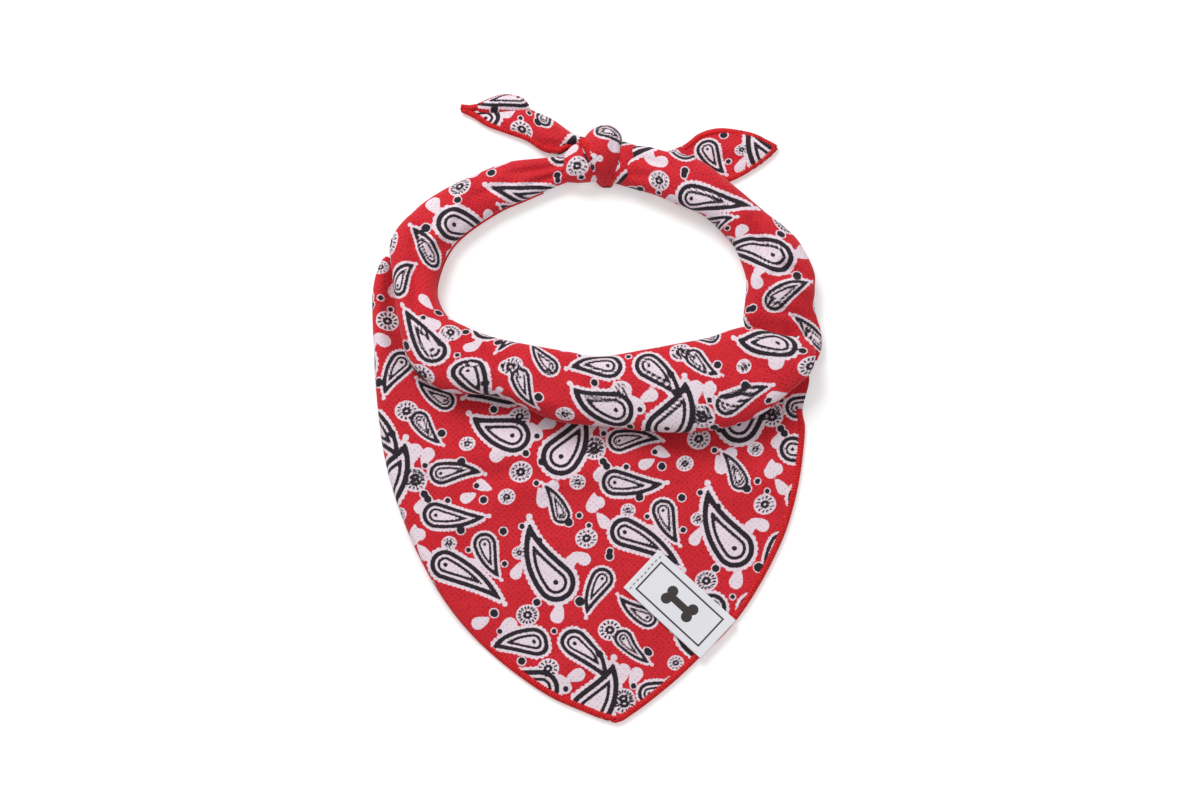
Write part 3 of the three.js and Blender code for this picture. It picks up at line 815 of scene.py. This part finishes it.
def tail_shell(name, rows, material, seed, shift, first=0.0, last=None, raise_by=0.0):
    last = len(rows) - 1 if last is None else last
    places = even_places(rows, TAIL_COLUMNS, first, last, GRID * 0.8)
    row = columns_at(rows, TAIL_COLUMNS, places)
    upper = np.stack([row["upper_x"], row["upper_y"]], 1)
    lower = np.stack([row["lower_x"], row["lower_y"]], 1)
    width = np.linalg.norm(lower - upper, axis=1)
    share = np.linspace(0, 1, max(int(width.max() / (GRID * 0.8)), 8))
    x = upper[:, :1] + (lower - upper)[:, :1] * share
    y = upper[:, 1:] + (lower - upper)[:, 1:] * share
    bulge = np.sin(math.pi * share) ** 0.8
    shape = crease_lines(x, y, TAIL_CREASES, seed) * bulge
    z = CLOTH + raise_by + np.maximum(row["lift"], 0)[:, None] * bulge + shape
    middle = (upper + lower) / 2
    run = np.concatenate([[0], np.cumsum(np.linalg.norm(np.diff(middle, axis=0), axis=1))])
    u = run[:, None] + shift[0] + 0 * x
    v = shift[1] - width[:, None] * (share - 0.5) * 1.15
    return printed(name, np.stack([x, y, z], -1), u, v, material)


# ------------------------------------------------------------------ hems

def strip(name, path, width, height, side, lift, material):
    """A rounded strip along a path, to one side of it, with slanting stitches over it."""
    path = np.asarray(path, float)
    gaps = np.concatenate([[0], np.cumsum(np.linalg.norm(np.diff(path, axis=0), axis=1))])
    count = max(int(gaps[-1] / 0.8), 6)
    even = np.linspace(0, gaps[-1], count)
    path = np.stack([np.interp(even, gaps, path[:, k]) for k in (0, 1)], 1)
    lift = np.interp(even, np.linspace(0, gaps[-1], len(np.atleast_1d(lift))), np.atleast_1d(lift))
    run = np.gradient(path, axis=0)
    run /= np.linalg.norm(run, axis=1)[:, None]
    inward = np.stack([-run[:, 1], run[:, 0]], 1) * side
    sides = 14
    angle = np.linspace(0, 2 * math.pi, sides, endpoint=False)
    wobble = 1 + 0.05 * np.sin(even * 2.1) + 0.04 * np.sin(even * 5.3)
    out = (width * wobble / 2)[:, None] * (1 - np.cos(angle))
    up = height / 2 * (1 + np.sin(angle))
    xy = path[:, None, :] + inward[:, None, :] * out[..., None]
    z = np.broadcast_to(up, out.shape) + lift[:, None]
    points = np.concatenate([xy, z[..., None]], -1)
    index = np.arange(count * sides).reshape(count, sides)
    a, b = index[:-1], np.roll(index[:-1], -1, axis=1)
    c, d = np.roll(index[1:], -1, axis=1), index[1:]
    faces = [tuple(q) for q in np.stack([a, d, c, b], -1).reshape(-1, 4)]
    points = [tuple(p) for p in points.reshape(-1, 3)]
    # The thread's turns over the edge.
    for place in np.arange(0.6, gaps[-1] - 0.6, STITCH_PITCH):
        px, py = (np.interp(place, even, path[:, k]) for k in (0, 1))
        rx, ry = (np.interp(place, even, run[:, k]) for k in (0, 1))
        ix, iy = (np.interp(place, even, inward[:, k]) for k in (0, 1))
        level = float(np.interp(place, even, lift))
        rings = []
        for t in np.linspace(0, 1, 6):
            turn = math.pi * (1.04 * t - 0.02)
            reach = width / 2 * (1 - 1.02 * math.cos(turn))
            z0 = level + height / 2 + (height / 2 + 0.10) * math.sin(turn)
            slant = STITCH_PITCH * 0.55 * (t - 0.5)
            centre = (px + ix * reach + rx * slant, py + iy * reach + ry * slant, z0)
            ring = []
            for k in range(5):
                around = 2 * math.pi * k / 5
                grow = STITCH_RADIUS * (0.35 if t in (0.0, 1.0) else 1.0)
                ring.append((centre[0] + rx * grow * math.cos(around),
                             centre[1] + ry * grow * math.cos(around),
                             centre[2] + grow * math.sin(around)))
            rings.append(ring)
        base = len(points)
        for ring in rings:
            points.extend(ring)
        for i in range(len(rings) - 1):
            for k in range(5):
                m = (k + 1) % 5
                faces.append((base + 5 * i + k, base + 5 * i + m, base + 5 * i + 5 + m, base + 5 * i + 5 + k))
    return mesh_object(name, points, faces, material)


def outline(rows, names, key, first, last):
    found = columns_at(rows, names, np.linspace(first, last, 160))
    return np.stack([found[key + "_x"], found[key + "_y"]], 1)


# ------------------------------------------------------------------ label

def label_plate(material):
    """The woven label: a thin plate with a thin frame round a plain bone."""
    length, width = LABEL["length"], LABEL["width"]
    columns, rows = int(length / 0.35), int(width / 0.35)
    s, t = np.meshgrid(np.linspace(-0.5, 0.5, columns), np.linspace(-0.5, 0.5, rows), indexing="ij")
    u, v = s * length, t * width
    turn = math.radians(LABEL["turn"])
    x = LABEL["x"] + u * math.cos(turn) - v * math.sin(turn)
    y = LABEL["y"] + u * math.sin(turn) + v * math.cos(turn)
    base = np.maximum(CLOTH + crease_height(BIB_CREASES, x, y), HEM_HEIGHT) + 0.35
    base = base + 0.12 * ripple(x, y, 26.0, 2.0) + 0.5 * np.clip((s - 0.2) / 0.3, 0, 1) ** 2
    top = np.stack([x, y, base + 0.45], -1).reshape(-1, 3)
    low = np.stack([x, y, base], -1).reshape(-1, 3)
    faces = grid_faces(columns, rows)
    count = columns * rows
    index = np.arange(count).reshape(columns, rows)
    rim = np.concatenate([index[:-1, 0], index[-1, :-1], index[:0:-1, -1], index[0, :0:-1]])
    after = np.roll(rim, -1)
    walls = np.stack([rim, rim + count, after + count, after], -1)
    both = np.concatenate([faces[:, ::-1], faces + count, walls])
    obj = mesh_object("sewn_label", np.concatenate([top, low]), both[:, ::-1], material)

    bone = np.maximum(np.abs(u) - 5.0, np.abs(v) - 1.5)
    for ex in (-5.4, 5.4):
        for ey in (-1.9, 1.9):
            bone = np.minimum(bone, np.hypot(u - ex, v - ey) - 2.2)
    frame_line = np.abs(np.maximum(np.abs(u) - 16.6, np.abs(v) - 7.2)) - 0.35
    ink = np.minimum(bone, frame_line)
    ink = np.concatenate([ink.ravel(), np.full(count, 3.0)])
    attribute(obj, "ink", ink)
    attribute(obj, "cloth_u", np.tile(u.ravel(), 2))
    attribute(obj, "cloth_v", np.tile(v.ravel(), 2))
    return obj


def label_stitches(material):
    """A short row of grey stitches across the label's sewn end."""
    points, faces = [], []
    turn = math.radians(LABEL["turn"])
    for k in range(9):
        v = -8.4 + 2.1 * k
        u = -LABEL["length"] / 2 + 2.2 + 0.15 * math.sin(5.0 * k)
        ends = [(u, v - 0.62), (u, v + 0.62)]
        base = len(points)
        for n, (a, b) in enumerate((ends[0], (u, v), ends[1])):
            x = LABEL["x"] + a * math.cos(turn) - b * math.sin(turn)
            y = LABEL["y"] + a * math.sin(turn) + b * math.cos(turn)
            for m in range(6):
                around = 2 * math.pi * m / 6
                grow = 0.22 if n == 1 else 0.10
                points.append((x + grow * math.cos(around) * math.cos(turn),
                               y + grow * math.cos(around) * math.sin(turn),
                               2.92 + grow * math.sin(around)))
        for n in range(2):
            for m in range(6):
                q = (m + 1) % 6
                faces.append((base + 6 * n + m, base + 6 * n + q, base + 6 * n + 6 + q, base + 6 * n + 6 + m))
    return mesh_object("label_stitches", points, faces, material)


# ------------------------------------------------------------------ light, floor and camera

def stage():
    bpy.ops.mesh.primitive_plane_add(size=6, location=(0, 0, -0.0002))
    floor = bpy.context.object
    floor.name = "floor"
    material, tree, shader = new_material("pale_floor")
    shader.inputs["Base Color"].default_value = (0.92, 0.92, 0.92, 1)
    shader.inputs["Roughness"].default_value = 0.9
    glow = node(tree, "ShaderNodeEmission")
    glow.inputs["Color"].default_value = (1, 1, 1, 1)
    glow.inputs["Strength"].default_value = FLOOR_GLOW
    total = node(tree, "ShaderNodeAddShader")
    path = node(tree, "ShaderNodeLightPath")
    seen = node(tree, "ShaderNodeMath", operation="MAXIMUM")
    tree.links.new(path.outputs["Is Camera Ray"], seen.inputs[0])
    more = node(tree, "ShaderNodeMath", operation="MAXIMUM")
    tree.links.new(path.outputs["Is Glossy Ray"], more.inputs[0])
    tree.links.new(path.outputs["Is Transmission Ray"], more.inputs[1])
    tree.links.new(more.outputs[0], seen.inputs[1])
    chosen = node(tree, "ShaderNodeMixShader")
    tree.links.new(shader.outputs[0], total.inputs[0])
    tree.links.new(glow.outputs[0], total.inputs[1])
    tree.links.new(seen.outputs[0], chosen.inputs[0])
    tree.links.new(shader.outputs[0], chosen.inputs[1])
    tree.links.new(total.outputs[0], chosen.inputs[2])
    tree.links.new(chosen.outputs[0], tree.nodes["Material Output"].inputs["Surface"])
    floor.data.materials.append(material)

    world = bpy.data.worlds.new("studio")
    bpy.context.scene.world = world
    world.use_nodes = True
    world.node_tree.nodes["Background"].inputs["Color"].default_value = (1, 1, 1, 1)
    world.node_tree.nodes["Background"].inputs["Strength"].default_value = ROOM_LIGHT

    for name, place, size, power in (
        ("key", (-0.45, 0.85, 0.95), 0.7, 13.0),
        ("fill", (0.9, -0.5, 1.2), 1.4, 4.0),
    ):
        light = bpy.data.lights.new(name, "AREA")
        light.size = size
        light.energy = power
        lamp = bpy.data.objects.new(name, light)
        lamp.location = place
        aim = -np.array(place) / np.linalg.norm(place)
        lamp.rotation_euler = direction_euler(aim)
        bpy.context.scene.collection.objects.link(lamp)


def direction_euler(aim):
    return Vector(aim).to_track_quat("-Z", "Y").to_euler()


def camera():
    """Nearly overhead, from the bib's side, through a long lens."""
    elevation = math.radians(CAMERA_ELEVATION)
    data = bpy.data.cameras.new("camera")
    data.lens = data.sensor_width * CAMERA_DISTANCE / SEEN_WIDTH
    data.clip_end = 50
    shot = bpy.data.objects.new("camera", data)
    target = np.array([0.0014, 0.0, 0.004])
    away = np.array([0, -math.cos(elevation), math.sin(elevation)])
    shot.location = target + away * CAMERA_DISTANCE
    shot.rotation_euler = direction_euler(-away)
    bpy.context.scene.collection.objects.link(shot)
    bpy.context.scene.camera = shot


# ------------------------------------------------------------------ assembly

def settle(obj, slot, *nodes):
    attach(obj, "root")
    if nodes:
        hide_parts(*nodes)
    return obj


def build():
    bpy.context.scene.view_settings.view_transform = "Standard"
    stage()
    camera()
    knit = knit_material()
    thread = thread_material("overlock_thread", HEM_RED, (0.78, 0.07, 0.10))
    woven = label_material()
    grey = thread_material("label_thread", (0.62, 0.60, 0.62), (0.48, 0.46, 0.48))

    bib = settle(bib_shell(knit), "printed_knit", "bib_panel", "bib_underfold")
    last_loop = len(LOOP_ROWS) - 1
    roll = settle(
        band_shell("rolled_neckline", LOOP_ROWS, knit, LOOP_CREASES, 1.1, 0, last_loop,
                   shift=(-150.0, 8.0), lean=-0.6),
        "printed_knit", "neck_roll", "left_band")
    right = settle(
        band_shell("right_side", RIGHT_ROWS, knit, RIGHT_CREASES, 2.3, 0, len(RIGHT_ROWS) - 1,
                   shift=(-20.0, -60.0)),
        "printed_knit", "right_band")
    wrap = settle(
        band_shell("knot_turn", KNOT_ROWS, knit, KNOT_CREASES, 0.7, 0, len(KNOT_ROWS) - 1,
                   shift=(-34.0, -46.0)),
        "printed_knit", "knot_wrap")
    lobe = settle(
        band_shell("knot_left_turn", KNOT_LEFT_ROWS, knit, KNOT_CREASES, 1.7, 0,
                   len(KNOT_LEFT_ROWS) - 1, shift=(-8.0, -58.0)),
        "printed_knit", "knot_left")
    tuck = settle(
        band_shell("knot_right_turn", KNOT_RIGHT_ROWS, knit, KNOT_CREASES, 2.7, 0,
                   len(KNOT_RIGHT_ROWS) - 1, shift=(-52.0, -20.0)),
        "printed_knit", "knot_right")
    tail_left = settle(
        tail_shell("tie_left", LEFT_TAIL_ROWS, knit, 0.9, (-30.0, -52.0)), "printed_knit", "left_tail")
    flap = settle(
        tail_shell("tie_left_flap", LEFT_FLAP_ROWS, knit, 1.9, (4.0, -36.0), raise_by=0.5),
        "printed_knit", "left_tail_flap")
    tail_right = settle(
        tail_shell("tie_right", RIGHT_TAIL_ROWS, knit, 2.9, (-62.0, -62.0)), "printed_knit", "right_tail")

    last_bib = len(BIB_ROWS) - 1
    tip = np.array([[7.4, -128.6]])
    right_edge = np.concatenate(
        [outline(BIB_ROWS, BIB_COLUMNS, "right", HEM_TOP_ROW, last_bib - 0.6), tip])
    hem_right = settle(strip("hem_right", right_edge, HEM_WIDTH, HEM_HEIGHT, -1, 0.0, thread),
                       "overlock_thread", "bib_hem_right")
    left_edge = np.concatenate(
        [outline(BIB_ROWS, BIB_COLUMNS, "left", HEM_LEFT_ROW, last_bib - 0.6), tip])
    hem_left = settle(strip("hem_left", left_edge, HEM_WIDTH, HEM_HEIGHT, 1, 0.0, thread),
                      "overlock_thread", "bib_hem_left")
    band_edge = outline(LOOP_ROWS, BAND_COLUMNS, "inner", 1.2, 7.2)
    hem_band = settle(strip("hem_band", band_edge, 2.2, 1.9, -1, 0.1, thread), "overlock_thread")
    low_edge = outline(LEFT_TAIL_ROWS, TAIL_COLUMNS, "lower", 0.8, len(LEFT_TAIL_ROWS) - 1)
    hem_tail_low = settle(strip("hem_tail_low", low_edge, 2.6, 1.9, -1, [3.0, 2.2, 1, 0.6, 0.6], thread),
                          "overlock_thread")
    top_edge = np.concatenate([
        outline(LEFT_FLAP_ROWS, TAIL_COLUMNS, "upper", 0, len(LEFT_FLAP_ROWS) - 1),
        [[-52, 124.0], [-55.4, 124.4]]])
    hem_tail_top = settle(strip("hem_tail_top", top_edge, 2.6, 1.9, 1, 0.8, thread), "overlock_thread")
    right_top = outline(RIGHT_TAIL_ROWS, TAIL_COLUMNS, "upper", 1, len(RIGHT_TAIL_ROWS) - 1)
    hem_right_top = settle(strip("hem_tie_right_top", right_top, 2.6, 1.9, -1, 0.3, thread),
                           "overlock_thread")
    right_low = outline(RIGHT_TAIL_ROWS, TAIL_COLUMNS, "lower", 2.6, len(RIGHT_TAIL_ROWS) - 1)
    hem_right_low = settle(strip("hem_tie_right_low", right_low, 2.6, 1.9, 1, 0.3, thread),
                           "overlock_thread")
    knot_edge = np.array([[-7.6, 106.6], [-5.8, 102.5], [-3.6, 98], [-1.4, 93.6], [0.2, 90.8]])
    settle(strip("hem_knot", knot_edge, 3.0, 2.2, 1, [8.5, 12.6, 12.8, 10.5, 4.5], thread),
           "overlock_thread")
    plate = settle(label_plate(woven), "woven_label", "label")
    settle(label_stitches(grey), "woven_label")


build()
